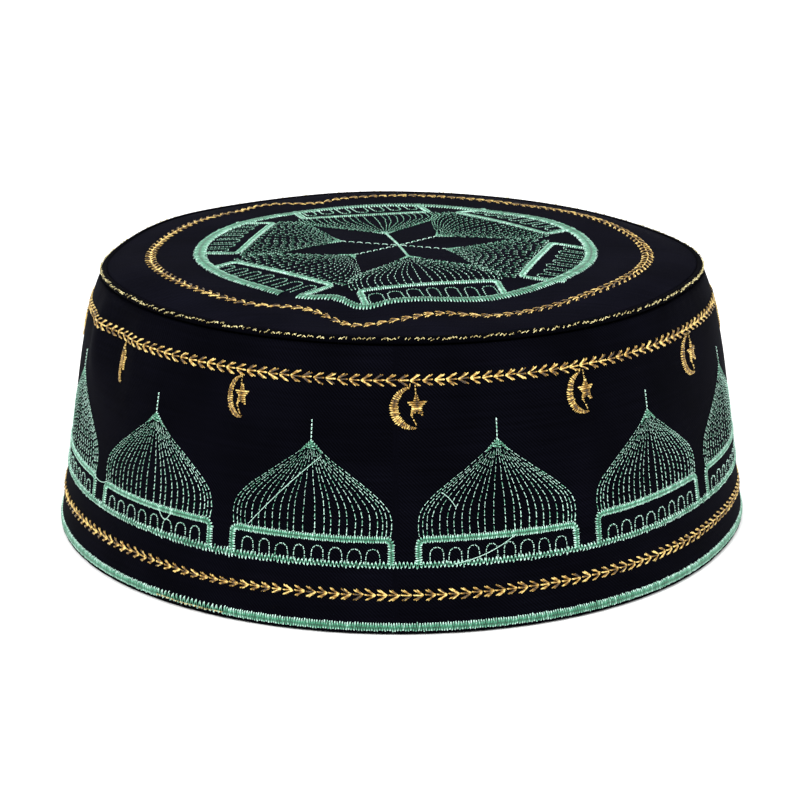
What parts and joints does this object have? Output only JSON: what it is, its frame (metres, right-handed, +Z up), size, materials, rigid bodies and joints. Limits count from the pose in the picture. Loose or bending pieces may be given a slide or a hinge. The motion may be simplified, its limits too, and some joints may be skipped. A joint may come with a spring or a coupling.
{
  "type": "embroidered prayer cap",
  "caption": "Stiff round prayer cap with a nearly flat crown panel and a tall side band that flares to an open rim, embroidered with domes, arcades and crescents.",
  "frame": {"origin": "middle of the rim, on the surface that the cap stands on", "axes": "+Z up through the crown, -Y to the front, +X to the wearer's left"},
  "size_m": [0.184, 0.184, 0.0734],
  "materials": {
    "crown_cloth": "navy-black cotton satin, fine crosswise thread, soft sheen",
    "band_cloth": "black cotton twill",
    "welt_cloth": "black cotton, rolled over the seam",
    "hem_cloth": "black cotton binding",
    "mint_thread": "glossy mint rayon embroidery thread",
    "gold_thread": "glossy gold rayon embroidery thread",
    "seam_thread": "pale gold thread of the whip-stitched seam"
  },
  "bodies": {
    "root": {"crown_panel": "crown_cloth", "side_band": "band_cloth", "seam_welt": "welt_cloth", "hem_binding": "hem_cloth"}
  },
  "joints": []
}
